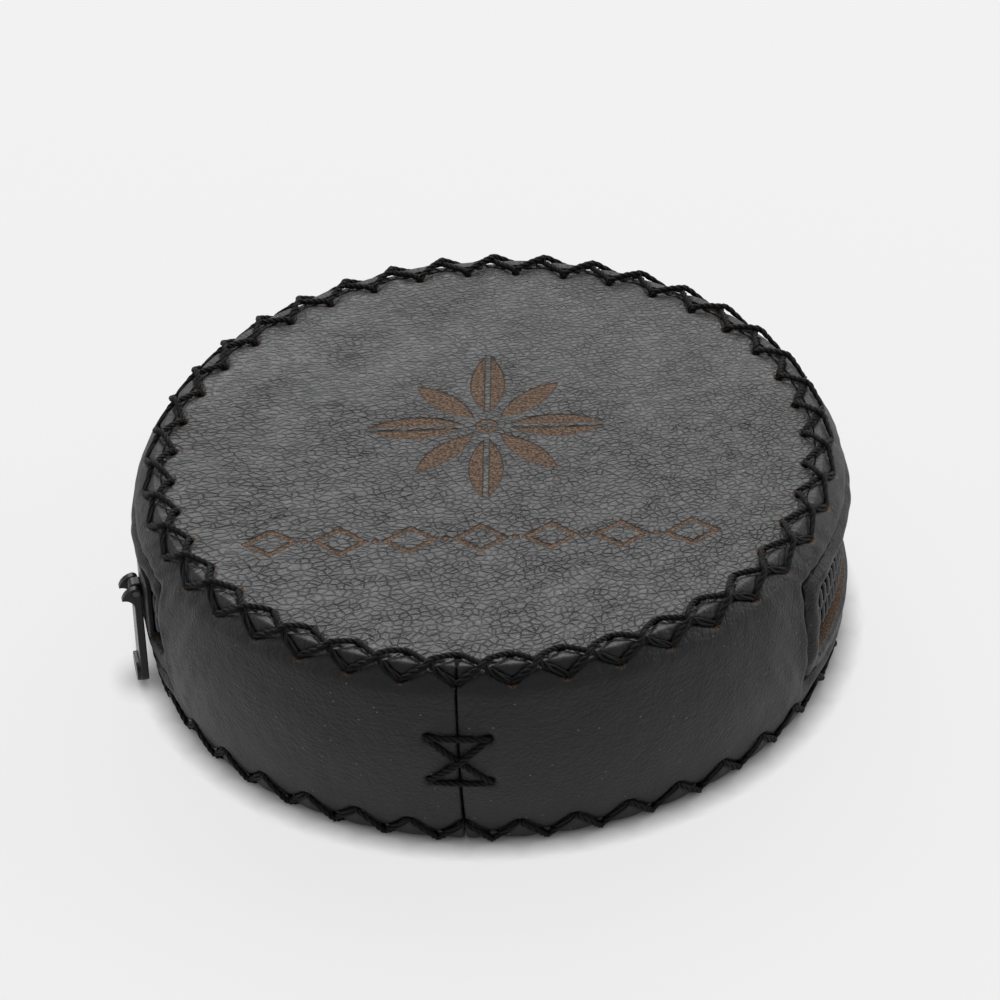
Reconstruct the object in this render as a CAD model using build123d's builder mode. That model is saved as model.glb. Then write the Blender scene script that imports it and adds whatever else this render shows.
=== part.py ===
from build123d import *
import os
from math import acos, cos, degrees, radians, sin, sqrt

# Round leather coin purse with a zip round its back. Millimetres, +Z up, origin at the
# centre of the underside. Azimuths run from -Y, the middle of the front wall, towards +X.

# Overall form
HEIGHT = 27.6  # floor to the grain side of the top panel
LEATHER = 2.0  # thickness of every leather piece
BULGE_RADIUS = 46.2  # widest radius of the side band
BULGE_HEIGHT = 15.5
WALL_ARC = 51.0  # radius of the band's outward curve, seen in section
PANEL_RADIUS = 42.0  # edge of both round panels
PANEL_GAP = 0.05  # between a panel's edge and the band
RIM_CREASE = 42.9  # radius where the band's top edge, drawn in by the thread, breaks over
RIM_SHOULDER = 25.2  # height where its slant meets the wall
RIM_ROUND = 1.6  # rounding of its bottom edge
BOTTOM_RIM = 1.0  # lift of the bottom rim, which keeps its thread off the floor
FLAT_RADIUS = 36.0  # flat of the domed bottom panel
DOME_RADIUS = 39.0  # where the dome meets the level rim

# Hand stitching
STITCHES = 40
PITCH = 360 / STITCHES
SEAM_AZIMUTH = -2.0  # butt seam of the band, which is also a stitch hole
SEAM_GAP = 0.3
PANEL_HOLE_RADIUS = 40.3
UPPER_HOLE_HEIGHT = 25.6
LOWER_HOLE_HEIGHT = 4.0
HOLE_RADIUS = 0.9
THREAD = 0.8  # diameter of the waxed thread
THREAD_BEND = 0.5
THREAD_LIFT = 0.5  # thread's centre line above a flat face
WALL_LIFT = 0.75  # and above the wall's curved face
THREAD_DIP = 1.0  # how far a thread's end goes into its hole
THREAD_OVER = 0.9  # how far the upper leg of a cross lies outside the lower one
TOP_OVER = (0.6, 0.7)  # the same at the rims: outward and up
BOTTOM_OVER = (THREAD_OVER, 0.1)
TOP_CROSSING_RADIUS = 43.2
BOTTOM_CROSSING_RADIUS = 44.4
HINGE_FROM, HINGE_TO = 60.0, 72.0  # crossings that lie over the fold line
HALF_STITCH = 3.9  # degrees from a crossing to each end of its legs
SEAM_STITCH_HALF = 4.9  # degrees from the seam to the front stitch's holes
SEAM_STITCH_TOP = 18.5
SEAM_STITCH_BOTTOM = 11.6
SEAM_STITCH_SAG = 0.15  # extra lift over the crown of the wall
HOLE_SHARE_GAP = 0.02  # between two threads in one hole

# Zip window and the fold line across the top
WINDOW_CENTRE = 14.3
WINDOW_HALF = 5.5
WINDOW_BOTTOM = WINDOW_CENTRE - WINDOW_HALF
WINDOW_TOP = WINDOW_CENTRE + WINDOW_HALF
CREASE_Y = -18.0  # fold line of the lid, through both ends of the window
CREASE_GAP = 0.1
WINDOW_AZIMUTH = degrees(acos(-CREASE_Y / BULGE_RADIUS))
SEW_OFFSET = 2.5  # sewing line outside the window's edge
SEW_THREAD = 0.3  # radius
SEW_GROOVE = 0.4  # radius
KNOT_SHARE = 1.3  # the sewing's corner knots, over the thread
LID_SEW_AZIMUTH = 67.8  # where the lid's sewing begins, just behind the fold line

# Zipper
TAPE_NEAR = 2.1  # depth of the tape's face below the wall's outer face
TAPE_FAR = 2.6
TAPE_LOW = 4.2
TAPE_HIGH = 24.4
TAPE_END_AZIMUTH = 56.0
TAPE_SLIT = 0.5  # half the gap between the two tapes
COIL_INNER = 44.15
COIL_OUTER = 45.12
COIL_HALF = 3.0  # half the width of the closed chain
COIL_SLIT = 0.4
COIL_END_AZIMUTH = 68.5

# Slider and pull
SLIDER_AZIMUTH = -76.5  # slider at rest, with the zip closed
SLIDER_HALF = 5.8  # half its length, in degrees
PLATE_INNER = 45.27
PLATE_OUTER = 45.97
PLATE_HALF = 4.2
FLANGE_REACH = 44.35
FLANGE_WIDTH = 0.8
BACK_INNER = 42.6
BACK_OUTER = 43.2
WEDGE_HALF = 0.25
PIN_RADIUS = 46.85
PIN_HEIGHT = 15.3
PIN_SIZE = 0.45
PIN_HALF_LENGTH = 1.95
CROWN_BORE = 0.5
CROWN_HALF = 0.8
CROWN_ROUND = 0.78
PULL_INNER = 46.1
PULL_OUTER = 47.1
PULL_TOP = 13.9
PULL_BOTTOM = 0.9
PULL_HALF_TOP = 1.9
PULL_HALF_BOTTOM = 2.5
KNOB_HEIGHT = 2.7
KNOB_RISE = 0.5
KNOB_INSET = 0.3
KNOB_ROUND = 1.2
PULL_CORNER = 1.4
EAR_ROUND = 0.75
EAR_BORE = 0.46
EAR_GAP_HALF = 0.95
EAR_SLOT_LOW = 12.9
EAR_FOOT = 13.0
EAR_CREST = (47.95, 15.55)  # a hooked ear's back, tip and throat: radius and height
EAR_TIP = (48.7, 14.3)
EAR_THROAT = (47.75, 14.1)


def wall_radius(height, depth=0.0):
    """Radius of the side wall at a height, at a depth below its outer face."""
    arc = WALL_ARC - depth
    return BULGE_RADIUS - WALL_ARC + sqrt(arc**2 - (height - BULGE_HEIGHT) ** 2)


def section_plane(azimuth):
    """Upright plane through Z: x runs outward, y up, and z against the azimuth."""
    a = radians(azimuth)
    return Plane(origin=(0, 0, 0), x_dir=(sin(a), -cos(a), 0), z_dir=(-cos(a), -sin(a), 0))


def facing_plane(azimuth, radius, height):
    """Plane that faces outward: x runs along the rim, y up."""
    a = radians(azimuth)
    origin = (radius * sin(a), -radius * cos(a), height)
    return Plane(origin=origin, x_dir=(cos(a), sin(a), 0), z_dir=(sin(a), -cos(a), 0))


def on_rim(azimuth, radius, height):
    """Point at an azimuth, radius and height."""
    a = radians(azimuth)
    return (radius * sin(a), -radius * cos(a), height)


def wall_layer(low, high, near, far, end_azimuth):
    """Strip of the wall between two heights and two depths, open across the front."""
    heights = (low, (low + high) / 2, high)
    with BuildPart() as layer:
        with BuildSketch(section_plane(end_azimuth)):
            with BuildLine():
                outer = ThreePointArc(*[(wall_radius(z, near), z) for z in heights])
                inner = ThreePointArc(*[(wall_radius(z, far), z) for z in reversed(heights)])
                Line(outer @ 1, inner @ 0)
                Line(inner @ 1, outer @ 0)
            make_face()
        revolve(axis=Axis.Z, revolution_arc=360 - 2 * end_azimuth)
    return layer.part


def box_section(inner, outer, low, high):
    """Face in a section plane: a plain rectangle."""
    with Locations(((inner + outer) / 2, (low + high) / 2)):
        Rectangle(outer - inner, high - low)


def leg(points):
    """One stitch leg, a round thread along filleted straight runs."""
    with BuildPart() as thread:
        with BuildLine():
            path = FilletPolyline(*points, radius=THREAD_BEND)
        with BuildSketch(Plane(origin=path @ 0, z_dir=path % 0)):
            Circle(THREAD / 2)
        sweep(path=path)
    return thread.part


def export(part, label):
    """Name a finished piece and write its file."""
    part.label = label
    export_step(part, f"parts/{label}.step")


os.makedirs("parts", exist_ok=True)

hole_azimuths = [SEAM_AZIMUTH + PITCH * i for i in range(STITCHES)]
back_start = WINDOW_AZIMUTH
back_arc = 360 - 2 * WINDOW_AZIMUTH

# ---------------------------------------------------------------- round panels

with BuildPart() as whole_top:
    with BuildSketch(Plane.XY.offset(HEIGHT - LEATHER)):
        Circle(PANEL_RADIUS - PANEL_GAP)
    extrude(amount=LEATHER)
    with Locations(*[on_rim(a, PANEL_HOLE_RADIUS, HEIGHT) for a in hole_azimuths]):
        Hole(HOLE_RADIUS, depth=LEATHER)

with BuildPart() as top_panel:
    add(whole_top.part)
    split(bisect_by=Plane.XZ.offset(-CREASE_Y - CREASE_GAP), keep=Keep.BOTTOM)

with BuildPart() as top_panel_front:
    add(whole_top.part)
    split(bisect_by=Plane.XZ.offset(-CREASE_Y + CREASE_GAP), keep=Keep.TOP)

edge = PANEL_RADIUS - PANEL_GAP
with BuildPart() as bottom_panel:
    with BuildSketch(Plane.XZ):
        with BuildLine():
            Polyline(
                (0, 0), (FLAT_RADIUS, 0), (DOME_RADIUS, BOTTOM_RIM), (edge, BOTTOM_RIM),
                (edge, BOTTOM_RIM + LEATHER), (DOME_RADIUS, BOTTOM_RIM + LEATHER),
                (FLAT_RADIUS, LEATHER), (0, LEATHER), close=True,
            )
        make_face()
    revolve(axis=Axis.Z)
    with Locations(*[on_rim(a, PANEL_HOLE_RADIUS, BOTTOM_RIM + LEATHER) for a in hole_azimuths]):
        Hole(HOLE_RADIUS, depth=LEATHER)

# ---------------------------------------------------------------- side band

sew_low = WINDOW_BOTTOM - SEW_OFFSET
sew_high = WINDOW_TOP + SEW_OFFSET
sew_azimuth = WINDOW_AZIMUTH - degrees(SEW_OFFSET / BULGE_RADIUS)


def sewing_arc(radius, height, azimuth):
    """Round cord along the wall's outer face at a height, open across the front."""
    with BuildPart() as cord:
        with BuildSketch(section_plane(azimuth)):
            with Locations((wall_radius(height), height)):
                Circle(radius)
        revolve(axis=Axis.Z, revolution_arc=360 - 2 * azimuth)
    return cord.part


def sewing_uprights(radius):
    """Round cords up the wall's outer face, one past each end of the window, with knotted ends."""
    heights = (sew_low, WINDOW_CENTRE, sew_high)
    with BuildPart() as cords:
        for azimuth in (-sew_azimuth, sew_azimuth):
            with BuildLine() as upright:
                ThreePointArc(*[on_rim(azimuth, wall_radius(z), z) for z in heights])
            with BuildSketch(Plane(origin=upright.line @ 0, z_dir=upright.line % 0)):
                Circle(radius)
            sweep(path=upright.line)
            with Locations(upright.line @ 0, upright.line @ 1):
                Sphere(KNOT_SHARE * radius)
    return cords.part


with BuildPart() as whole_band:
    panel_low = BOTTOM_RIM + LEATHER
    panel_high = HEIGHT - LEATHER
    with BuildSketch(section_plane(0)) as band_section:
        with BuildLine():
            outer = ThreePointArc(
                *[(wall_radius(z), z) for z in (BOTTOM_RIM, BULGE_HEIGHT, RIM_SHOULDER)]
            )
            inner = ThreePointArc(
                *[(wall_radius(z, LEATHER), z) for z in (panel_high, BULGE_HEIGHT, panel_low)]
            )
            Line(outer @ 1, (RIM_CREASE, HEIGHT))
            Polyline((RIM_CREASE, HEIGHT), (PANEL_RADIUS, HEIGHT), (PANEL_RADIUS, panel_high))
            Line((PANEL_RADIUS, panel_high), inner @ 0)
            Polyline(inner @ 1, (PANEL_RADIUS, panel_low), (PANEL_RADIUS, BOTTOM_RIM), outer @ 0)
        make_face()
        lowest = [v for v in band_section.vertices() if v.Y < BOTTOM_RIM + LEATHER / 2]
        fillet(max(lowest, key=lambda v: v.X), radius=RIM_ROUND)
    revolve(axis=Axis.Z)
    with BuildSketch(section_plane(back_start)):
        box_section(PANEL_RADIUS, BULGE_RADIUS + LEATHER, WINDOW_BOTTOM, WINDOW_TOP)
    revolve(axis=Axis.Z, revolution_arc=back_arc, mode=Mode.SUBTRACT)
    for height in (UPPER_HOLE_HEIGHT, LOWER_HOLE_HEIGHT):
        holes = [facing_plane(a, wall_radius(height), height) for a in hole_azimuths]
        with Locations(*holes):
            Cylinder(HOLE_RADIUS, 2 * LEATHER, mode=Mode.SUBTRACT)
    for height in (SEAM_STITCH_TOP, SEAM_STITCH_BOTTOM):
        for side in (-SEAM_STITCH_HALF, SEAM_STITCH_HALF):
            with Locations(facing_plane(SEAM_AZIMUTH + side, wall_radius(height), height)):
                Cylinder(HOLE_RADIUS, 3 * LEATHER, mode=Mode.SUBTRACT)
    with Locations(facing_plane(SEAM_AZIMUTH, BULGE_RADIUS, HEIGHT / 2)):
        Box(SEAM_GAP, 2 * HEIGHT, 6 * LEATHER, mode=Mode.SUBTRACT)
    add(sewing_uprights(SEW_GROOVE), mode=Mode.SUBTRACT)
    for height in (sew_low, sew_high):
        add(sewing_arc(SEW_GROOVE, height, sew_azimuth), mode=Mode.SUBTRACT)

# The band's strip above the window folds up with the lid, behind the crease.
lid_depth = 2 * BULGE_RADIUS
lid_corner = (Align.CENTER, Align.MIN, Align.MIN)
with BuildPart() as side_band:
    add(whole_band.part)
    with Locations((0, CREASE_Y - CREASE_GAP, WINDOW_TOP - CREASE_GAP)):
        Box(2 * lid_depth, lid_depth, HEIGHT, align=lid_corner, mode=Mode.SUBTRACT)

with BuildPart() as side_band_upper:
    add(whole_band.part)
    with Locations((0, CREASE_Y + CREASE_GAP, WINDOW_TOP)):
        Box(2 * lid_depth, lid_depth, HEIGHT, align=lid_corner, mode=Mode.INTERSECT)

# ---------------------------------------------------------------- zipper

tape_low_edge = WINDOW_CENTRE - TAPE_SLIT
tape_high_edge = WINDOW_CENTRE + TAPE_SLIT
zipper_tape_lower = wall_layer(TAPE_LOW, tape_low_edge, TAPE_NEAR, TAPE_FAR, TAPE_END_AZIMUTH)
whole_upper_tape = wall_layer(tape_high_edge, TAPE_HIGH, TAPE_NEAR, TAPE_FAR, TAPE_END_AZIMUTH)

with BuildPart() as zipper_tape_upper:
    add(whole_upper_tape)
    split(bisect_by=Plane.XZ.offset(-CREASE_Y - CREASE_GAP), keep=Keep.BOTTOM)

with BuildPart() as zipper_tape_ends:
    add(whole_upper_tape)
    split(bisect_by=Plane.XZ.offset(-CREASE_Y + CREASE_GAP), keep=Keep.TOP)

with BuildPart() as zipper_coil_lower:
    with BuildSketch(section_plane(COIL_END_AZIMUTH)):
        box_section(COIL_INNER, COIL_OUTER, WINDOW_CENTRE - COIL_HALF, WINDOW_CENTRE - COIL_SLIT)
    revolve(axis=Axis.Z, revolution_arc=360 - 2 * COIL_END_AZIMUTH)

with BuildPart() as zipper_coil_upper:
    with BuildSketch(section_plane(COIL_END_AZIMUTH)):
        box_section(COIL_INNER, COIL_OUTER, WINDOW_CENTRE + COIL_SLIT, WINDOW_CENTRE + COIL_HALF)
    revolve(axis=Axis.Z, revolution_arc=360 - 2 * COIL_END_AZIMUTH)

with BuildPart() as zipper_sewing_lower:
    add(sewing_uprights(SEW_THREAD))
    add(sewing_arc(SEW_THREAD, sew_low, sew_azimuth))

zipper_sewing_upper = sewing_arc(SEW_THREAD, sew_high, LID_SEW_AZIMUTH)

# ---------------------------------------------------------------- slider and pull

slider_start = section_plane(SLIDER_AZIMUTH - SLIDER_HALF)
slider_low = WINDOW_CENTRE - PLATE_HALF
slider_high = WINDOW_CENTRE + PLATE_HALF
with BuildPart() as slider_body:
    with BuildSketch(slider_start):
        box_section(PLATE_INNER, PLATE_OUTER, slider_low, slider_high)
        box_section(FLANGE_REACH, PLATE_OUTER, slider_low, slider_low + FLANGE_WIDTH)
        box_section(FLANGE_REACH, PLATE_OUTER, slider_high - FLANGE_WIDTH, slider_high)
        box_section(BACK_INNER, BACK_OUTER, slider_low, slider_high)
    revolve(axis=Axis.Z, revolution_arc=2 * SLIDER_HALF)
    with BuildSketch(slider_start):
        box_section(
            BACK_INNER, PLATE_OUTER, WINDOW_CENTRE - WEDGE_HALF, WINDOW_CENTRE + WEDGE_HALF
        )
    revolve(axis=Axis.Z, revolution_arc=SLIDER_HALF)

with BuildPart() as slider_crown:
    with BuildSketch(section_plane(SLIDER_AZIMUTH)):
        box_section(PLATE_INNER, PIN_RADIUS, PULL_TOP, PIN_HEIGHT + CROWN_ROUND)
        with Locations((PIN_RADIUS, PIN_HEIGHT)):
            Circle(CROWN_ROUND)
            Circle(CROWN_BORE, mode=Mode.SUBTRACT)
    extrude(amount=CROWN_HALF, both=True)
    with BuildSketch(section_plane(SLIDER_AZIMUTH - SLIDER_HALF)):
        box_section(BACK_INNER, PLATE_OUTER, slider_low, slider_high)
    revolve(axis=Axis.Z, revolution_arc=2 * SLIDER_HALF, mode=Mode.SUBTRACT)

with BuildPart() as pull_pin:
    with BuildSketch(section_plane(SLIDER_AZIMUTH)):
        with Locations((PIN_RADIUS, PIN_HEIGHT)):
            Circle(PIN_SIZE)
    extrude(amount=PIN_HALF_LENGTH, both=True)

with BuildPart() as pull_tab:
    with BuildSketch(facing_plane(SLIDER_AZIMUTH, PULL_INNER, 0)) as pull_outline:
        with BuildLine():
            Polyline(
                (-PULL_HALF_BOTTOM, PULL_BOTTOM), (PULL_HALF_BOTTOM, PULL_BOTTOM),
                (PULL_HALF_TOP, PULL_TOP), (-PULL_HALF_TOP, PULL_TOP), close=True,
            )
        make_face()
        fillet(pull_outline.vertices().group_by(Axis.Z)[0], radius=PULL_CORNER)
    extrude(amount=PULL_OUTER - PULL_INNER)
    with BuildSketch(facing_plane(SLIDER_AZIMUTH, PULL_OUTER, PULL_BOTTOM + KNOB_HEIGHT / 2)):
        RectangleRounded(2 * (PULL_HALF_BOTTOM - KNOB_INSET), KNOB_HEIGHT, KNOB_ROUND)
    extrude(amount=KNOB_RISE)
    # Two hooked ears hold the pin, one each side of the crown.
    with BuildSketch(section_plane(SLIDER_AZIMUTH)):
        ear_top = PIN_HEIGHT + EAR_ROUND
        with BuildLine():
            ThreePointArc((PIN_RADIUS, ear_top), EAR_CREST, EAR_TIP)
            ThreePointArc(EAR_TIP, EAR_THROAT, (PULL_OUTER, EAR_FOOT))
            Polyline((PULL_OUTER, EAR_FOOT), (PULL_INNER, EAR_FOOT), (PULL_INNER, PIN_HEIGHT))
            ThreePointArc(
                (PULL_INNER, PIN_HEIGHT),
                (PIN_RADIUS - EAR_ROUND * sqrt(0.5), PIN_HEIGHT + EAR_ROUND * sqrt(0.5)),
                (PIN_RADIUS, ear_top),
            )
        make_face()
    extrude(amount=PULL_HALF_TOP, both=True)
    with BuildSketch(section_plane(SLIDER_AZIMUTH)):
        box_section(BACK_INNER, BULGE_RADIUS + HEIGHT, EAR_SLOT_LOW, HEIGHT)
    extrude(amount=EAR_GAP_HALF, both=True, mode=Mode.SUBTRACT)
    with BuildSketch(section_plane(SLIDER_AZIMUTH)):
        with Locations((PIN_RADIUS, PIN_HEIGHT)):
            Circle(EAR_BORE)
    extrude(amount=2 * PULL_HALF_TOP, both=True, mode=Mode.SUBTRACT)

# ---------------------------------------------------------------- hand stitching

# A cross stitch is two legs between the panel's holes and the band's. Each leg is listed
# as (azimuth from the crossing, radius, height), from the panel's hole to the band's.
upper_hole = wall_radius(UPPER_HOLE_HEIGHT)
lower_hole = wall_radius(LOWER_HOLE_HEIGHT)
top_under = [
    (-HALF_STITCH, PANEL_HOLE_RADIUS, HEIGHT - THREAD_DIP),
    (-HALF_STITCH, PANEL_HOLE_RADIUS, HEIGHT + THREAD_LIFT),
    (0, TOP_CROSSING_RADIUS, HEIGHT + THREAD_LIFT),
    (HALF_STITCH, upper_hole + WALL_LIFT, UPPER_HOLE_HEIGHT),
    (HALF_STITCH, upper_hole - THREAD_DIP, UPPER_HOLE_HEIGHT),
]
bottom_under = [
    (-HALF_STITCH, PANEL_HOLE_RADIUS, BOTTOM_RIM + THREAD_DIP),
    (-HALF_STITCH, PANEL_HOLE_RADIUS, BOTTOM_RIM - THREAD_LIFT),
    (0, BOTTOM_CROSSING_RADIUS, BOTTOM_RIM - THREAD_LIFT),
    (HALF_STITCH, lower_hole + WALL_LIFT, LOWER_HOLE_HEIGHT),
    (HALF_STITCH, lower_hole - THREAD_DIP, LOWER_HOLE_HEIGHT),
]


def crossing_leg(route, rise):
    """The leg that mirrors `route` and lifts over it at the crossing."""
    lifted = [(-a, r, z) for a, r, z in route]
    _, radius, height = lifted[2]
    lifted[2] = (0, radius + rise[0], height + rise[1])
    return lifted


top_over = crossing_leg(top_under, TOP_OVER)
bottom_over = crossing_leg(bottom_under, BOTTOM_OVER)
top_cross = [leg([on_rim(*p) for p in route]) for route in (top_under, top_over)]
bottom_cross = [leg([on_rim(*p) for p in route]) for route in (bottom_under, bottom_over)]

# The fold line passes between three crossings, which flex with it.
crossings = [SEAM_AZIMUTH + PITCH * (i + 0.5) for i in range(-STITCHES // 2, STITCHES // 2)]
front_crossings = [a for a in crossings if abs(a) < HINGE_FROM]
hinge_crossings = [a for a in crossings if HINGE_FROM <= abs(a) <= HINGE_TO]
rear_crossings = [a for a in crossings if abs(a) > HINGE_TO]


def stitch_row(cross, azimuths):
    """Copies of one cross stitch round the rim."""
    with BuildPart() as row:
        with Locations(*[Rotation(0, 0, a) for a in azimuths]):
            for thread in cross:
                add(thread)
    return row.part


top_rim_thread_front = stitch_row(top_cross, front_crossings)
top_rim_thread_rear = stitch_row(top_cross, rear_crossings)
top_rim_thread_hinge = stitch_row(top_cross, hinge_crossings)
bottom_rim_thread = stitch_row(bottom_cross, crossings)


def seam_leg(start, end, lift):
    """Thread across the front seam, from hole to hole over the wall's face."""
    (a0, z0), (a1, z1) = start, end
    middle = ((a0 + a1) / 2, wall_radius((z0 + z1) / 2, -WALL_LIFT - lift), (z0 + z1) / 2)
    points = [
        (a0, wall_radius(z0, THREAD_DIP), z0), (a0, wall_radius(z0, -WALL_LIFT), z0), middle,
        (a1, wall_radius(z1, -WALL_LIFT), z1), (a1, wall_radius(z1, THREAD_DIP), z1),
    ]
    return leg([on_rim(SEAM_AZIMUTH + a, r, z) for a, r, z in points])


# Bars and crossing legs lie one above the other in the holes that they share.
share = THREAD / 2 + HOLE_SHARE_GAP
left, right = -SEAM_STITCH_HALF, SEAM_STITCH_HALF
low, high = SEAM_STITCH_BOTTOM + share, SEAM_STITCH_TOP - share
with BuildPart() as front_seam_thread:
    for bar in (SEAM_STITCH_TOP + share, SEAM_STITCH_BOTTOM - share):
        add(seam_leg((left, bar), (right, bar), SEAM_STITCH_SAG))
    add(seam_leg((left, low), (right, high), SEAM_STITCH_SAG))
    add(seam_leg((left, high), (right, low), SEAM_STITCH_SAG + THREAD_OVER))

# ---------------------------------------------------------------- files

pieces = {
    "top_panel": top_panel.part,
    "top_panel_front": top_panel_front.part,
    "bottom_panel": bottom_panel.part,
    "side_band": side_band.part,
    "side_band_upper": side_band_upper.part,
    "zipper_tape_lower": zipper_tape_lower,
    "zipper_tape_upper": zipper_tape_upper.part,
    "zipper_tape_ends": zipper_tape_ends.part,
    "zipper_coil_lower": zipper_coil_lower.part,
    "zipper_coil_upper": zipper_coil_upper.part,
    "zipper_sewing_lower": zipper_sewing_lower.part,
    "zipper_sewing_upper": zipper_sewing_upper,
    "slider_body": slider_body.part,
    "slider_crown": slider_crown.part,
    "pull_pin": pull_pin.part,
    "pull_tab": pull_tab.part,
    "top_rim_thread_front": top_rim_thread_front,
    "top_rim_thread_rear": top_rim_thread_rear,
    "top_rim_thread_hinge": top_rim_thread_hinge,
    "bottom_rim_thread": bottom_rim_thread,
    "front_seam_thread": front_seam_thread.part,
}
for label, part in pieces.items():
    export(part, label)
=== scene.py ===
import math

import bpy
import numpy as np
from mathutils import Matrix, Vector


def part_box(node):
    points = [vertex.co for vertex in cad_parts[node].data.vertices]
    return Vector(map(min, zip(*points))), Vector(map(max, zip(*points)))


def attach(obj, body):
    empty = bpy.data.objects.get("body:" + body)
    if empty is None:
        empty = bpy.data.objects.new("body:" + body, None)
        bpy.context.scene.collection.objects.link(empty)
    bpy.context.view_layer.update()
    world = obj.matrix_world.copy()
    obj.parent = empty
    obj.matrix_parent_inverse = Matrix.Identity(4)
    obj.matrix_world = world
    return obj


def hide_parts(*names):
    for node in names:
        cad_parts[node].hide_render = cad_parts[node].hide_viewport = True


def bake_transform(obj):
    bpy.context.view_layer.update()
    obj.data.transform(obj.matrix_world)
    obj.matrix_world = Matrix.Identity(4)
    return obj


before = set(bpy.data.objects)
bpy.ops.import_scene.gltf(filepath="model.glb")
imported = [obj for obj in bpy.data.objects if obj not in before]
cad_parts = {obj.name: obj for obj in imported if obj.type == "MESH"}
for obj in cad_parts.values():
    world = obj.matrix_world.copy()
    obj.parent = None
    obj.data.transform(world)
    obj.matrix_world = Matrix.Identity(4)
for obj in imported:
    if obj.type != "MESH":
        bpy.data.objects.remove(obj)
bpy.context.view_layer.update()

# Round leather coin purse with a zip round its back. Shapes are in millimetres, in the
# frame of the CAD part, and written to the meshes in metres. Azimuths are degrees from -Y,
# the middle of the front wall, towards +X. `top` is True for the upper rim, False for the lower.

MM = 0.001
scene = bpy.context.scene
join = np.concatenate
rng = np.random.default_rng(40)


def node_box(node_name):
    """Lowest and highest corner of a CAD node, in millimetres."""
    low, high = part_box(node_name)
    return np.array(low) / MM, np.array(high) / MM


# ---- sizes

HEIGHT = node_box("top_panel")[1][2]
LEATHER = HEIGHT - node_box("top_panel")[0][2]  # its thickness
PANEL_RADIUS = node_box("bottom_panel")[1][0]
BOTTOM_RIM = node_box("side_band")[0][2]
BULGE_RADIUS = -node_box("side_band")[0][1]
WINDOW_CENTRE = (node_box("zipper_coil_lower")[0][2] + node_box("zipper_coil_upper")[1][2]) / 2
CREASE_Y = -18.0  # where the lid folds

BULGE_HEIGHT = 15.5  # of the widest place of the wall
WALL_ARC = 51.0  # radius of the wall's upright curve
WINDOW_HALF = 5.5  # half of the window's height
WINDOW_LOW = WINDOW_CENTRE - WINDOW_HALF
WINDOW_HIGH = WINDOW_CENTRE + WINDOW_HALF
WINDOW_END = math.degrees(math.acos(-CREASE_Y / BULGE_RADIUS))
WINDOW_CORNER = 2.2

STITCHES = 40  # round each rim
PITCH = 360 / STITCHES
SEAM = -2.0
HOLE_RADIUS = 40.6  # of the circle of holes in the panels
BAND_HOLE_HEIGHT = {True: 26.1, False: 4.0}
SEAM_STITCH_HALF = 4.9  # degrees
SEAM_STITCH_TOP = 18.5
SEAM_STITCH_BOTTOM = 11.6
RIM_DEGREE = math.radians(1) * 44.5  # millimetres to a degree along the rims
WALL_DEGREE = math.radians(1) * 45.5  # and along the wall


def wall_radius(height, depth=0.0):
    """Radius of the side wall at a height, at a depth below its outer face."""
    arc = WALL_ARC - depth
    return BULGE_RADIUS - WALL_ARC + np.sqrt(arc**2 - (height - BULGE_HEIGHT) ** 2)


def round_z(azimuth, radius, height):
    """Points at azimuths (degrees), radii and heights, as an array with xyz last."""
    a = np.radians(azimuth)
    return np.stack(np.broadcast_arrays(radius * np.sin(a), -radius * np.cos(a), height), axis=-1)


def from_hole(azimuth):
    """Degrees past the nearest stitch hole."""
    return (azimuth - SEAM + PITCH / 2) % PITCH - PITCH / 2


def smooth(low, high, value):
    """0 at low and 1 at high, eased."""
    t = np.clip((value - low) / (high - low), 0, 1)
    return t * t * (3 - 2 * t)


def bell(distance, width):
    """1 in the middle, falling away smoothly."""
    return np.exp(-((distance / width) ** 2))


def ripple(x, y, wavelength, seed, waves=14):
    """Smooth random relief from -1 to 1, about one wavelength across."""
    random = np.random.default_rng(seed)
    total = np.zeros(np.broadcast(x, y).shape)
    for _ in range(waves):
        direction, phase = random.uniform(0, 2 * np.pi, 2)
        k = 2 * np.pi / wavelength * random.uniform(0.6, 1.6)
        total += np.sin(k * (x * np.cos(direction) + y * np.sin(direction)) + phase)
    return total / math.sqrt(waves)


# ---- meshes


def linked(name, data):
    made = bpy.data.objects.new(name, data)
    scene.collection.objects.link(made)
    return made


def listed(*grids):
    """Grids of x, y and z as one list of points."""
    return np.stack(grids, axis=-1).reshape(-1, 3)


def mesh_object(name, points, faces, surface, **attributes):
    """Object from points in millimetres and quads. Each attribute is per point or per corner."""
    mesh = bpy.data.meshes.new(name)
    mesh.vertices.add(len(points))
    mesh.vertices.foreach_set("co", (points * MM).astype(np.float32).ravel())
    mesh.loops.add(faces.size)
    mesh.loops.foreach_set("vertex_index", faces.astype(np.int32).ravel())
    mesh.polygons.add(len(faces))
    starts = np.arange(0, faces.size, faces.shape[1], dtype=np.int32)
    mesh.polygons.foreach_set("loop_start", starts)
    mesh.polygons.foreach_set("use_smooth", np.ones(len(faces), bool))
    mesh.update(calc_edges=True)
    mesh.materials.append(surface)
    for key, values in attributes.items():
        kind, field = ("FLOAT_VECTOR", "vector") if values.ndim == 2 else ("FLOAT", "value")
        domain = "POINT" if len(values) == len(points) else "CORNER"
        layer = mesh.attributes.new(key, kind, domain)
        layer.data.foreach_set(field, values.astype(np.float32).ravel())
    return linked(name, mesh)


def grid_faces(rows, columns):
    """Quads between the points of a grid of rows by columns that closes on itself round a row."""
    i, j = np.meshgrid(np.arange(rows - 1), np.arange(columns), indexing="ij")
    this, after = i * columns + j, i * columns + (j + 1) % columns
    quads = np.stack([this, after, after + columns, this + columns], axis=-1)
    return quads.reshape(-1, 4)


def fold(obj):
    """Writes the piece's placement into its mesh."""
    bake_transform(obj)


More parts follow.
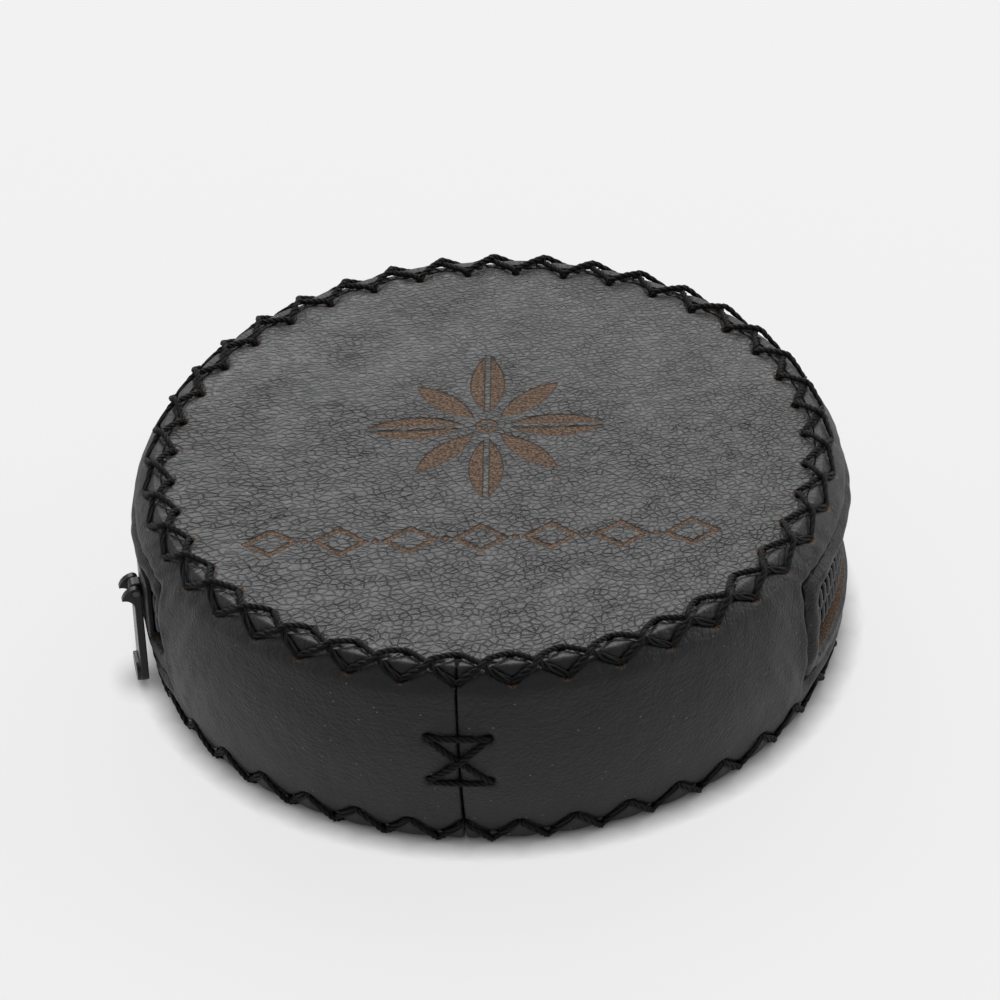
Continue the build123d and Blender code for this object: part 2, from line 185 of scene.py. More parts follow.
# ---- shader nodes


def node(kind, inputs=None, tree=None, **settings):
    """Shader node whose inputs are constants or the sockets that feed it, in their node tree."""
    inputs = inputs or {}
    fed = {key: value for key, value in inputs.items() if isinstance(value, bpy.types.NodeSocket)}
    tree = tree or next(iter(fed.values())).id_data
    made = tree.nodes.new("ShaderNode" + kind)
    for key, value in settings.items():
        setattr(made, key, value)
    for key, value in inputs.items():
        if key in fed:
            tree.links.new(value, made.inputs[key])
        else:
            made.inputs[key].default_value = value
    return made


def maths(operation, *values):
    return node("Math", dict(enumerate(values)), operation=operation).outputs[0]


def times(*values):
    return maths("MULTIPLY", *values)


def vector_maths(operation, *vectors):
    return node("VectorMath", dict(enumerate(vectors)), operation=operation).outputs[0]


def scaled(vector, factor):
    return node("VectorMath", {0: vector, "Scale": factor}, operation="SCALE").outputs[0]


def eased(value, low, high, to_low=0.0, to_high=1.0):
    """A value mapped from one range to another, clamped and eased."""
    inputs = {"Value": value, 1: low, 2: high, 3: to_low, 4: to_high}
    return node("MapRange", inputs, interpolation_type="SMOOTHSTEP").outputs[0]


def mixed(factor, first, second):
    return node("Mix", {0: factor, 6: first, 7: second}, data_type="RGBA").outputs[2]


def noise(at, scale, detail=3.0, rough=0.55, output="Fac"):
    inputs = {"Vector": at, "Scale": scale, "Detail": detail, "Roughness": rough}
    return node("TexNoise", inputs).outputs[output]


def stretched(at, scale, turn=0.0):
    inputs = {"Vector": at, "Scale": scale, "Rotation": (0, 0, math.radians(turn))}
    return node("Mapping", inputs).outputs[0]


def laid(at, lie, drawn):
    """Coordinates whose texture is drawn out along a direction."""
    inputs = {"Vector": at, "Rotation": (0, 0, math.radians(lie)), "Scale": (drawn, 1.0, 1.0)}
    return node("Mapping", inputs, vector_type="TEXTURE").outputs[0]


def read(tree, name, output="Fac"):
    """A mesh attribute."""
    return node("Attribute", tree=tree, attribute_name=name).outputs[output]


def bump(height, depth):
    """Normal from a height, of a depth in millimetres."""
    inputs = {"Height": height, "Distance": depth * MM, "Strength": 1.0}
    return node("Bump", inputs).outputs[0]


def material(name, **settings):
    """Material with a Principled shader whose constants are set on its own sockets."""
    made = bpy.data.materials.new(name)
    made.use_nodes = True
    shader = made.node_tree.nodes["Principled BSDF"]
    for key, value in settings.items():
        shader.inputs[key.replace("_", " ").title().replace("Ior", "IOR")].default_value = value
    return made, made.node_tree, shader


def feed(shader, colour, roughness, normal):
    links = shader.id_data.links
    links.new(colour, shader.inputs["Base Color"])
    links.new(roughness, shader.inputs["Roughness"])
    links.new(normal, shader.inputs["Normal"])


# ---- materials

BROWN = (0.155, 0.088, 0.048, 1)
BROWN_DARK = (0.028, 0.017, 0.011, 1)
BURNT = (0.012, 0.007, 0.005, 1)
# painted shade for the hollows of the creases and folds
PAINTED_CREASE_SHADE = (0.0012, 0.0012, 0.0012, 1)
DUST = (0.20, 0.20, 0.20, 1)


def pebble_edge(at, size):
    """Distance from the crease round each pebble of a size in millimetres."""
    inputs = {"Vector": at, "Scale": 1 / size}
    settings = {"feature": "DISTANCE_TO_EDGE", "voronoi_dimensions": "2D"}
    return node("TexVoronoi", inputs, **settings).outputs["Distance"]


def grain(tree, at, cell, drawn, lie, swirl):
    """The grain of drummed leather, each from 0 to 1: its creases, domed pebbles and long folds."""
    pull = vector_maths("SUBTRACT", noise(at, 0.14, 2.0, 0.5, "Color"), (0.5, 0.5, 0.5))
    bent = vector_maths("ADD", at, scaled(pull, swirl))
    along = laid(bent, lie, drawn)
    uneven = scaled(noise(along, 1.3, 4.0, 0.5, "Color"), 0.5 * cell)
    along = vector_maths("ADD", along, uneven)
    big, tiny = (pebble_edge(along, size) for size in (cell, cell / 2.6))
    broken = eased(noise(along, 0.35 / cell), 0.34, 0.62, 0.4, 1.0)
    broken = times(broken, read(tree, "creased"))
    round_big = eased(big, 0.0, 0.15, 1.0, 0.0)
    round_tiny = eased(tiny, 0.0, 0.25, 0.4, 0.0)
    creases = times(maths("MAXIMUM", round_big, round_tiny), broken)
    streak = noise(laid(bent, lie, 4.5), 0.40, 2.0, 0.5)
    ridge = maths("ABSOLUTE", maths("SUBTRACT", streak, 0.5))
    folds = times(eased(ridge, 0.0, 0.012, 1.0, 0.0), broken)
    return creases, eased(big, 0.0, 0.30), folds


def bare_fibre(tree, at, grit):
    """Where the leather is cut or engraved, and its brown there, burnt along the engraving."""
    cut = read(tree, "engraving")
    bare = maths("MAXIMUM", read(tree, "raw"), eased(cut, 0.46, 0.54))
    burnt = maths("ABSOLUTE", maths("SUBTRACT", cut, 0.55))
    brown = mixed(eased(grit, 0.42, 0.60), BROWN_DARK, BROWN)
    fibre = eased(noise(at, 1.1), 0.2, 0.8, 0.0, 0.35)
    brown = mixed(fibre, brown, BROWN_DARK)
    return bare, mixed(eased(burnt, 0.05, 0.18, 0.75, 0.0), brown, BURNT)


def dusted(at, tone):
    """A colour with a rare pale speck on it."""
    specks = node("TexVoronoi", {"Vector": at, "Scale": 0.5}, voronoi_dimensions="2D")
    speck = eased(specks.outputs["Distance"], 0.02, 0.05, 0.8, 0.0)
    chance = node("SeparateColor", {0: specks.outputs["Color"]}).outputs[0]
    return mixed(times(speck, eased(chance, 0.84, 0.86)), tone, DUST)


def leather(name, black, cell, drawn, lie, swirl, line, depth, wrinkle, fine, roughness, shine):
    """Black drummed leather: pebbles of a size in millimetres, with creases between them, under
    long folds, whose hollows are painted darker as shade. The attribute creased strengthens
    these; raw and engraving bare brown fibre."""
    made, tree, shader = material(name, specular_ior_level=shine)
    at = read(tree, "grain", "Vector")
    creases, dome, folds = grain(tree, at, cell, drawn, lie, swirl)
    grit = noise(at, 3.4, 2.0, 0.65)
    bare, brown = bare_fibre(tree, at, grit)

    pores = maths("ADD", noise(at, 2.2, 3.0, 0.7), noise(at, 0.8, 3.0, 0.6))
    relief = maths("SUBTRACT", times(dome, 0.75 * line), times(creases, line))
    relief = maths("ADD", relief, times(pores, fine))
    relief = maths("SUBTRACT", relief, times(folds, wrinkle))
    relief = times(relief, maths("SUBTRACT", 1.0, bare))
    fuzz = times(grit, times(bare, 1.5))

    # creases and folds painted darker, towards near black: painted shade in their hollows
    painted_crease_shade = maths("ADD", times(creases, line), times(folds, 0.6 * wrinkle))
    painted_crease_shade = maths("MINIMUM", painted_crease_shade, 0.96)
    mottled = eased(noise(at, 0.9, 4.0, 0.6), 0.3, 0.7, 0.85, 1.15)
    tone = mixed(painted_crease_shade, scaled(black, mottled), PAINTED_CREASE_SHADE)
    tone = mixed(bare, dusted(at, tone), brown)

    rough = maths("ADD", times(painted_crease_shade, 0.5), times(grit, 0.14))
    rough = maths("ADD", rough, roughness - 0.07)
    rough = maths("MAXIMUM", rough, times(bare, 0.92))
    feed(shader, tone, rough, bump(maths("ADD", relief, fuzz), depth))
    return made


def thread_material():
    """Waxed black thread: fine filaments along each strand, the grooves between them painted darker as
    shade. The attribute lay runs along it.
    """
    made, tree, shader = material("waxed_thread", specular_ior_level=0.2)
    fibres = noise(stretched(read(tree, "lay", "Vector"), (0.5, 7.0, 7.0)), 1.0, 3.0, 0.6)
    # grooves painted darker than crowns: painted shade between the filaments
    groove, crown = (0.0015, 0.0015, 0.0015, 1), (0.007, 0.007, 0.007, 1)
    tone = mixed(eased(fibres, 0.35, 0.65), groove, crown)
    feed(shader, tone, eased(fibres, 0.3, 0.7, 0.8, 0.58), bump(fibres, 0.16))
    return made


def coil_material():
    """Black nylon monofilament with a dull sheen."""
    made, tree, shader = material("nylon_coil", specular_ior_level=0.5)
    scuffs = noise(read(tree, "lay", "Vector"), 1.3, 4.0, 0.65)
    tone = mixed(scuffs, (0.006, 0.006, 0.007, 1), (0.018, 0.018, 0.019, 1))
    feed(shader, tone, eased(scuffs, 0.3, 0.7, 0.3, 0.5), bump(scuffs, 0.03))
    return made


def tape_material():
    """Black polyester tape in a fine herringbone-like twill, painted darker where the weave sinks, as shade
    between the yarns.
    """
    made, tree, shader = material("zip_tape", sheen_weight=0.15, sheen_roughness=0.5, specular_ior_level=0.3)
    at = read(tree, "grain", "Vector")

    def ribs(way, scale, slack):
        inputs = {"Vector": at, "Scale": scale, "Distortion": slack}
        return node("TexWave", inputs, bands_direction=way).outputs["Fac"]

    weave = times(ribs("DIAGONAL", 0.55, 0.6), ribs("Y", 0.8, 0.4))
    # darker where the weave is low: painted shade between the yarns
    tone = mixed(weave, (0.004, 0.004, 0.004, 1), (0.02, 0.02, 0.021, 1))
    feed(shader, tone, eased(weave, 0.0, 1.0, 0.9, 0.7), bump(weave, 0.12))
    return made


def metal_material():
    """Black lacquered zinc, worn a little thin on its edges."""
    made, tree, shader = material("lacquered_metal", metallic=0.55, specular_ior_level=0.5)
    at = node("TexCoord", tree=tree).outputs["Object"]
    scratches = noise(stretched(at, (9.0, 1.0, 1.0), 30.0), 420.0, 5.0, 0.7)
    orange_peel = noise(at, 1500.0, 2.0)
    edges = eased(node("NewGeometry", tree=tree).outputs["Pointiness"], 0.52, 0.62)
    tone = mixed(scratches, (0.006, 0.006, 0.0065, 1), (0.020, 0.020, 0.021, 1))
    tone = mixed(times(edges, 0.5), tone, (0.11, 0.105, 0.1, 1))
    feed(shader, tone, eased(scratches, 0.3, 0.7, 0.28, 0.42), bump(orange_peel, 0.02))
    return made


# One black leather in two copies: the top's black is painted about five times lighter than the side's, which
# the band and bottom share: painted light on the top, painted shade on the sides.
TOP_LEATHER_PAINTED_LIT = leather(
    "leather_top_painted_lit", (0.036, 0.036, 0.037), cell=0.66, drawn=1.25, lie=24.0,
    swirl=1.6, line=0.80, depth=0.15, wrinkle=0.7, fine=0.45, roughness=0.45, shine=0.5,
)
SIDE_LEATHER_PAINTED_SHADED = leather(
    "leather_side_painted_shaded", (0.007, 0.007, 0.0074), cell=0.75, drawn=1.2, lie=90.0,
    swirl=0.8, line=0.20, depth=0.13, wrinkle=0.4, fine=1.2, roughness=0.45, shine=0.34,
)
THREAD = thread_material()
COIL = coil_material()
TAPE = tape_material()
METAL = metal_material()

# ---- the stitched rims

# Along a rim: the distance over its surface from the crease where panel and band meet, negative
# towards the panel's holes, positive towards the band's.
CREASE_RADIUS = {True: 42.9, False: 43.7}
CREASE_LEVEL = {True: HEIGHT, False: BOTTOM_RIM}
SHOULDER = {True: 25.2, False: 3.4}  # height at which the wall begins
CREASE_ROUND = 0.14
SHOULDER_ROUND = 0.75
RIM_START = 36.0  # radius on the panel
RIM_STEP = 0.02
TRIM_START, TRIM_END = 1.2, 4.0  # left off, where the rounding runs out of neighbours


def rim_profile(top):
    """Radii, heights and distances along a rim, from the panel, over the crease and the band's
    slanting edge, to mid-wall."""
    wall = np.linspace(SHOULDER[top], BULGE_HEIGHT, 80)
    radius = join([[RIM_START, CREASE_RADIUS[top]], wall_radius(wall)])
    height = join([[CREASE_LEVEL[top]] * 2, wall])
    along = join([[0], np.cumsum(np.hypot(np.diff(radius), np.diff(height)))])
    even = np.arange(0, along[-1], RIM_STEP)
    plain = [np.interp(even, along, v) for v in (radius, height)]
    rounded = []
    for size in (CREASE_ROUND, SHOULDER_ROUND):
        reach = int(4 * size / RIM_STEP)
        window = bell(np.arange(-reach, reach + 1) * RIM_STEP, math.sqrt(2) * size)
        window /= window.sum()
        rounded.append([np.convolve(np.pad(v, reach, "edge"), window, "valid") for v in plain])
    distance = even - along[1]
    soft = smooth(0.5, 2.2, distance)
    r, z = ((1 - soft) * crisp + soft * mild for crisp, mild in zip(*rounded))
    keep = slice(round(TRIM_START / RIM_STEP), -round(TRIM_END / RIM_STEP))
    return r[keep], z[keep], distance[keep]


RIMS = {top: rim_profile(top) for top in (True, False)}


def rim_section(top, along, lift=0.0):
    """Radius and height at a distance along a rim, lifted off the surface."""
    radius, height, s = RIMS[top]
    r, z = np.interp(along, s, radius), np.interp(along, s, height)
    ahead, behind = along + RIM_STEP, along - RIM_STEP
    dr, dz = (np.interp(ahead, s, v) - np.interp(behind, s, v) for v in (radius, height))
    length = np.hypot(dr, dz)
    sign = 1 if top else -1
    return r - sign * lift * dz / length, z + sign * lift * dr / length


def rim_at_radius(top, radius):
    """The distance along a rim at which it reaches a radius on the panel."""
    r, _, s = RIMS[top]
    return float(s[np.argmax(r > radius)])


def rim_at_height(top, height):
    """The distance along a rim at which it reaches a height on the wall."""
    _, z, s = RIMS[top]
    return float(s[np.argmax(z < height if top else z > height)])


PANEL_HOLE = {top: rim_at_radius(top, HOLE_RADIUS) for top in RIMS}
BAND_HOLE = {top: rim_at_height(top, BAND_HOLE_HEIGHT[top]) for top in RIMS}
PETAL = {True: 0.20, False: 0.40}  # how far the leather swells between the stitches
PETAL_LENGTH = 2.3
PINCH = 0.30  # how far the threads press into it
PINCH_WIDTH = 0.5
CROSSING_DENT = 0.30
CROSSING_WIDTH = 0.8
# depth and width of a hole's mouth, and of the hollow that its thread draws in round it
RIM_HOLE = ((0.8, 0.42), (0.12, 1.4))
SEAM_HOLE = ((0.9, 0.5), (0.10, 1.6))


def hole_dent(away, hole):
    """How deep the leather is drawn in at a distance from a stitch hole."""
    return sum(depth * bell(away, width) for depth, width in hole)


def stitch_relief(top, azimuth, along):
    """How far the rim's leather stands off its plain surface, drawn in by the cross stitches."""
    to_crossing = (azimuth - SEAM) % PITCH - PITCH / 2
    across = np.abs(from_hole(azimuth)) / (PITCH / 2)
    reach = np.where(along < 0, along / PANEL_HOLE[top], along / BAND_HOLE[top])
    inside = 1 - across - reach
    swell = np.clip(inside, 0, 1)
    relief = PETAL[top] * swell * (2 - swell)
    relief -= PINCH * bell(inside * PETAL_LENGTH, PINCH_WIDTH) * smooth(1.3, 1.0, reach)
    relief -= CROSSING_DENT * bell(np.hypot(to_crossing * RIM_DEGREE, along), CROSSING_WIDTH)
    for hole in (PANEL_HOLE[top], BAND_HOLE[top]):
        relief -= hole_dent(np.hypot(from_hole(azimuth) * RIM_DEGREE, along - hole), RIM_HOLE)
    return relief


# ---- engraved ornament

ROSETTE = (-0.5, 6.6)  # its middle
LEAF_START = 2.4
LONG_LEAF = (15.9, 2.3)  # where it ends, and half its width
SHORT_LEAF = (13.0, 1.7)
MIDRIB = 0.30  # half the width of the rib left standing in a long leaf
ROW_Y = -16.8
ROW_TURN = 2.6  # the row and the rosette sit a little askew
LOZENGE_PITCH = 8.9
LOZENGE_HALF = (3.1, 2.5)
FAR_OFF = 9.0  # engraving distance where nothing is near


def turned(x, y, degrees):
    a = math.radians(degrees)
    return x * math.cos(a) + y * math.sin(a), y * math.cos(a) - x * math.sin(a)


def leaf_distance(x, y, half_length, half_width):
    """Signed distance to a pointed leaf lying along x, negative inside."""
    radius = (half_length**2 + half_width**2) / (2 * half_width)
    offset = radius - half_width
    return np.maximum(np.hypot(x, y - offset), np.hypot(x, y + offset)) - radius


def rosette(x, y):
    """Signed distance to eight leaves, long and short by turns, round a ring."""
    distance = np.abs(np.hypot(x, y) - 1.1) - 0.4
    for leaf in range(8):
        end, half_width = SHORT_LEAF if leaf % 2 else LONG_LEAF
        along, across = turned(x, y, 45 * leaf + ROW_TURN)
        middle, half_length = (end + LEAF_START) / 2, (end - LEAF_START) / 2
        outline = leaf_distance(along - middle, across, half_length, half_width)
        if leaf % 2 == 0:
            outline = np.maximum(outline, MIDRIB - np.abs(across))
        distance = np.minimum(distance, outline)
    return distance


def lozenges(x, y):
    """Signed distance to a row of seven outlined lozenges with dots between them."""
    u, v = turned(x, y, ROW_TURN)
    distance = np.full(x.shape, FAR_OFF)
    for place in range(-3, 4):
        size = np.abs(u - LOZENGE_PITCH * place) / LOZENGE_HALF[0] + np.abs(v) / LOZENGE_HALF[1]
        distance = np.minimum(distance, np.abs(size - 1) * 1.9 - 0.42)
    for place in range(-3, 3):
        distance = np.minimum(distance, np.hypot(u - LOZENGE_PITCH * (place + 0.5), v) - 0.55)
    return distance


# ---- round panels

FOOT = 0.25  # height of the bottom panel's middle, so that none of its relief is under the floor
EDGE_ROLL = 0.5
MIDDLE = 0.05  # radius of the innermost ring
ENGRAVED = 0.12  # depth, and half the width of its edge's slope


def panel_section(rings):
    """Radii and depths along a panel's section: face, rolled edge, cut edge and inner side."""
    edge = PANEL_RADIUS
    face = join([[MIDDLE], np.linspace(0, edge - EDGE_ROLL, rings)[1:]])
    roll = np.radians(np.linspace(0, 90, 6)[1:])
    back = np.array([edge, edge - 0.4, 38, 34, 28, 20, 12, 5, MIDDLE])
    radius = join([face, edge - EDGE_ROLL + EDGE_ROLL * np.sin(roll), [edge], back])
    rolled = EDGE_ROLL - EDGE_ROLL * np.cos(roll)
    depth = join([0 * face, rolled, [LEATHER * 0.6], np.full(len(back), LEATHER)])
    return radius, depth


def panel_relief(top, r, a, x, y, cut):
    """How far a panel's face stands off its plain level."""
    relief = np.where(r > 37, stitch_relief(top, a, r - CREASE_RADIUS[top]), 0) * smooth(37, 38.5, r)
    relief = relief + 0.10 * ripple(x, y, wavelength=22, seed=3) * smooth(42, 30, r)
    relief = relief + 0.035 * ripple(x, y * 1.6, wavelength=4.5, seed=4)
    relief = relief + 0.012 * ripple(x, y * 1.8, wavelength=1.6, seed=5)
    return relief - ENGRAVED * smooth(ENGRAVED, -ENGRAVED, cut)


def panel(name, top, rings, columns):
    """A round panel with the stitches' dents, and the ornament if it is the top one."""
    radius, depth = panel_section(rings)
    a, r = np.meshgrid(np.arange(columns) * 360 / columns, radius)
    down = np.broadcast_to(depth[:, None], r.shape)
    x, y = r * np.sin(np.radians(a)), -r * np.cos(np.radians(a))
    on_face = down < EDGE_ROLL - 0.01
    if top:
        level = HEIGHT
        cut = np.minimum(rosette(x - ROSETTE[0], y - ROSETTE[1]), lozenges(x, y - ROW_Y))
    else:
        level = FOOT + (BOTTOM_RIM - FOOT) * smooth(36, 39, r)
        cut = np.full(r.shape, FAR_OFF)
    proud = np.where(on_face, panel_relief(top, r, a, x, y, cut), 0) - down
    points = listed(x, y, level + (proud if top else -proud))
    faces = grid_faces(len(radius), columns)
    hole = np.hypot(from_hole(a) * math.radians(HOLE_RADIUS), r - HOLE_RADIUS)
    raw = np.maximum(smooth(0.15, 0.5, down), 0.8 * smooth(1.0, 0.6, hole))
    # the grain is drawn out on the left and at the front, and tightens to the right and the back
    across = 0.72 * x + 0.002 * x**2 + (0 if top else 2 * BULGE_RADIUS)
    grain_at = listed(across, 0.92 * y + 0.0035 * y**2, 0 * y)
    creased = 0.45 + 0.55 * smooth(34, 4, y + 0.35 * np.abs(x - 4)) + 0.25 * ripple(x, y, 16, 6)
    engraving = np.where(on_face, np.clip(0.5 - cut, 0, 1), 0)
    return mesh_object(
        name, points, faces if top else faces[:, ::-1], TOP_LEATHER_PAINTED_LIT if top else SIDE_LEATHER_PAINTED_SHADED,
        grain=grain_at, raw=raw.ravel(), engraving=engraving.ravel(),
        creased=np.clip(creased, 0.2, 1).ravel(),
    )


top_leather = panel("top_leather", True, rings=170, columns=900)
fold(top_leather)
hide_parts("top_panel", "top_panel_front")

bottom_leather = panel("bottom_leather", False, rings=70, columns=480)
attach(bottom_leather, "base")
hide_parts("bottom_panel")

# ---- side band's window

LIP_ROLL = 0.9
LIP_ROLL_LOW = 0.45  # under the window, where the pull hangs
LIP_PUFF = 0.4
LIP_PUFF_LOW = 0.12
SEW_LINE = 2.7  # from the window's edge
SEW_DEPTH = 0.8
SEW_WIDTH = 0.55
END_TUCK = 1.1  # how far the window's left end is pressed in


def end_tuck(azimuth, side, level):
    """How far the leather round the window's left end is pressed in."""
    near = smooth(4.5, 0.2, side) * smooth(-5.0, 0.0, side)
    return END_TUCK * (azimuth > 180) * near * smooth(3.0, -2.0, level)


def window_edge(azimuth, height):
    """Distances outside the window's outline, beyond its end and beyond its long edge, and the
    shifts of azimuth and height that round its corners."""
    side = (np.abs(azimuth - 180) - (180 - WINDOW_END)) * WALL_DEGREE
    level = np.abs(height - WINDOW_CENTRE) - WINDOW_HALF
    u, v = np.maximum(side + WINDOW_CORNER, 0), np.maximum(level + WINDOW_CORNER, 0)
    ring = np.maximum(u, v)
    both = (u > 0) & (v > 0)
    scale = np.where(both, ring / np.maximum(np.hypot(u, v), 1e-6), 1) - 1
    scale *= smooth(3 * WINDOW_CORNER, WINDOW_CORNER, ring)
    shift_a = scale * u / WALL_DEGREE * np.sign(azimuth - 180)
    shift_z = scale * v * np.sign(height - WINDOW_CENTRE)
    return ring - WINDOW_CORNER, side, level, shift_a, shift_z


def window_relief(azimuth, height):
    """The window's rolled lips, their puff as far as the sewing's groove, and its tucked end."""
    edge, side, level, _, _ = window_edge(azimuth, height)
    arc = azimuth * WALL_DEGREE
    roll = np.where((height > WINDOW_CENTRE) | (side > -1.0), LIP_ROLL, LIP_ROLL_LOW)
    tuck = end_tuck(azimuth, side, level)
    puff = LIP_PUFF_LOW + (LIP_PUFF - LIP_PUFF_LOW) * smooth(WINDOW_LOW - 1, WINDOW_LOW + 4, height)
    puff = puff * (1 - tuck / END_TUCK) * (1 + 0.2 * ripple(arc, height, 6, 32))
    line = edge - SEW_LINE - 0.16 * ripple(arc, height, 5, 31)
    lip = np.sqrt(np.maximum(roll**2 - np.maximum(roll - edge, 0) ** 2, 0)) - roll
    lip += puff * np.sin(np.pi * np.clip(edge / SEW_LINE, 0, 1))
    lip -= SEW_DEPTH * bell(line, SEW_WIDTH)
    lip += 0.18 * bell(line - 1.3, 0.7) * (level < 5)
    return np.where(edge > -0.01, lip, 0) - tuck


# ---- side band

RIM_ROWS = 44
RIM_REACH = {True: 4.2, False: 4.4}  # rim distance at which the plain wall takes over
BESIDE_PANEL = PANEL_RADIUS + 0.1  # where the band's edge begins
SKIVED = 0.8  # thickness left of the band at the rims
FLESH_LOW = 3.2  # heights between which the inner face follows the outer one
FLESH_HIGH = 25.2
FAR = 99.0  # stands for the rim distance of a row that isn't in that rim
CUT_RAW, DYED_RAW, FLESH_RAW, HOLE_RAW = 0.9, 0.3, 0.45, 0.85  # how brown each is


def band_rows():
    """The rows, from the bottom panel to the top one: outer radii and heights, inner radii and
    heights, and distances along both rims."""
    low_s = np.linspace(rim_at_radius(False, BESIDE_PANEL), RIM_REACH[False], RIM_ROWS)
    high_s = np.linspace(RIM_REACH[True], rim_at_radius(True, BESIDE_PANEL), RIM_ROWS)
    low_r, low_z = rim_section(False, low_s)
    high_r, high_z = rim_section(True, high_s)
    wall = join([
        np.linspace(low_z[-1], WINDOW_LOW, 12)[1:],
        np.linspace(WINDOW_LOW, WINDOW_HIGH, 26)[1:],
        np.linspace(WINDOW_HIGH, high_z[0], 10)[1:-1],
    ])
    outer_r = join([low_r, wall_radius(wall), high_r])
    outer_z = join([low_z, wall, high_z])
    floor, ceiling = BOTTOM_RIM + LEATHER, HEIGHT - LEATHER
    outside = [low_z.min(), FLESH_LOW, WINDOW_LOW, WINDOW_HIGH, FLESH_HIGH, high_z.max()]
    inner_z = np.interp(outer_z, outside, [floor, floor, WINDOW_LOW, WINDOW_HIGH, ceiling, ceiling])
    inner_r = np.minimum(wall_radius(inner_z, LEATHER), np.maximum(outer_r - SKIVED, BESIDE_PANEL))
    far = np.full(len(outer_z) - RIM_ROWS, FAR)
    rims = {False: join([low_s, far]), True: join([far, high_s])}
    return outer_r, outer_z, inner_r, inner_z, rims


def band_columns():
    """Azimuths of the band's columns, once round from one side of the seam to the other, closer
    together at the seam and at the window's ends."""
    seam_end, far_end, near = SEAM + 360, 360 - WINDOW_END, 4
    ends = [
        SEAM, SEAM + 1.2, WINDOW_END - near, WINDOW_END, WINDOW_END + near,
        far_end - near, far_end, far_end + near, seam_end - 1.2, seam_end,
    ]
    steps = [8, 160, 16, 16, 480, 16, 16, 160, 8]
    spans = [np.linspace(a, b, n, endpoint=False) for a, b, n in zip(ends, ends[1:], steps)]
    return join(spans + [[seam_end]])


def from_seam(azimuth):
    """Distance from the front seam."""
    return np.minimum(np.abs(azimuth - SEAM), np.abs(azimuth - SEAM - 360)) * WALL_DEGREE


def from_front(azimuth):
    """Degrees from the middle of the front, on either side."""
    return np.abs((azimuth + 180) % 360 - 180)


def seam_dents(a, z):
    """Depth of the seam stitch's holes, and of the leather's turn into the seam."""
    dents = 0.28 * np.exp(-from_seam(a) / 0.25) + 0.05 * bell(from_seam(a), 2.0)
    for height in (SEAM_STITCH_TOP, SEAM_STITCH_BOTTOM):
        for hole in (SEAM - SEAM_STITCH_HALF, SEAM + SEAM_STITCH_HALF):
            across = (a - hole + 180) % 360 - 180
            dents += hole_dent(np.hypot(across * WALL_DEGREE, z - height), SEAM_HOLE)
    return dents


def band_relief(a, z, rims):
    """How far the band's outer face stands off the plain wall: petals, lips, ripples and folds."""
    arc = a * WALL_DEGREE
    relief = np.zeros(a.shape)
    for top, s in rims.items():
        near = s < FAR
        fade = smooth(RIM_REACH[True], 3.0, s[near])[:, None]
        relief[near] += stitch_relief(top, a[near], s[near][:, None]) * fade
    relief += window_relief(a, z)
    relief += 0.05 * ripple(arc, z, 14, 7) + 0.02 * ripple(arc, z * 0.5, 3.5, 8)
    beside_window = smooth(44, 60, from_front(a)) * smooth(84, 64, from_front(a)) * smooth(3, 8, z)
    slanting = arc - 0.45 * z * np.sign(a - 180)
    relief += 0.13 * beside_window * ripple(slanting, z * 0.22, 4.2, 9)
    return relief - seam_dents(a, z)


# a cell's neighbours, each with the two corners that the cell shares with it
NEIGHBOURS = [
    ((-1, 0), (0, 1), (0, 0)), ((1, 0), (1, 0), (1, 1)),
    ((0, -1), (0, 0), (1, 0)), ((0, 1), (1, 1), (0, 1)),
]


def sheet_faces(kept):
    """Faces of a thick sheet from the kept cells of its grid: front, back, whose points follow the
    front's, and cut edges."""
    rows, columns = kept.shape[0] + 1, kept.shape[1] + 1
    i, j = np.nonzero(kept)
    front = (i * columns + j)[:, None] + np.array([0, 1, columns + 1, columns])
    back = front[:, ::-1] + rows * columns
    padded = np.pad(kept, 1)
    edges = []
    for (di, dj), (i0, j0), (i1, j1) in NEIGHBOURS:
        neighbour = padded[1 + di : rows + di, 1 + dj : columns + dj]
        i, j = np.nonzero(kept & ~neighbour)
        one, two = (i + i0) * columns + j + j0, (i + i1) * columns + j + j1
        edges.append(np.stack([one, two, two + rows * columns, one + rows * columns], axis=-1))
    return front, back, join(edges)


def edge_raw(middle):
    """How brown the cut edges are: bare at the window's lower lip and at the rims."""
    in_window = (np.abs(middle[:, 2] - WINDOW_LOW) < 0.6) & (middle[:, 1] > CREASE_Y)
    at_rim = np.hypot(middle[:, 0], middle[:, 1]) < PANEL_RADIUS + 0.6
    return np.where(in_window | at_rim, CUT_RAW, DYED_RAW)


def hole_raw(a, rims):
    """How brown the outer face is: bare in the mouths of the stitch holes."""
    raw = np.zeros(a.shape)
    for top, s in rims.items():
        away = np.hypot(from_hole(a) * RIM_DEGREE, s[:, None] - BAND_HOLE[top] - 0.2)
        raw = np.maximum(raw, HOLE_RAW * smooth(0.75, 0.4, away))
    return raw.ravel()


def nearest(values, value):
    return int(np.argmin(np.abs(values - value)))


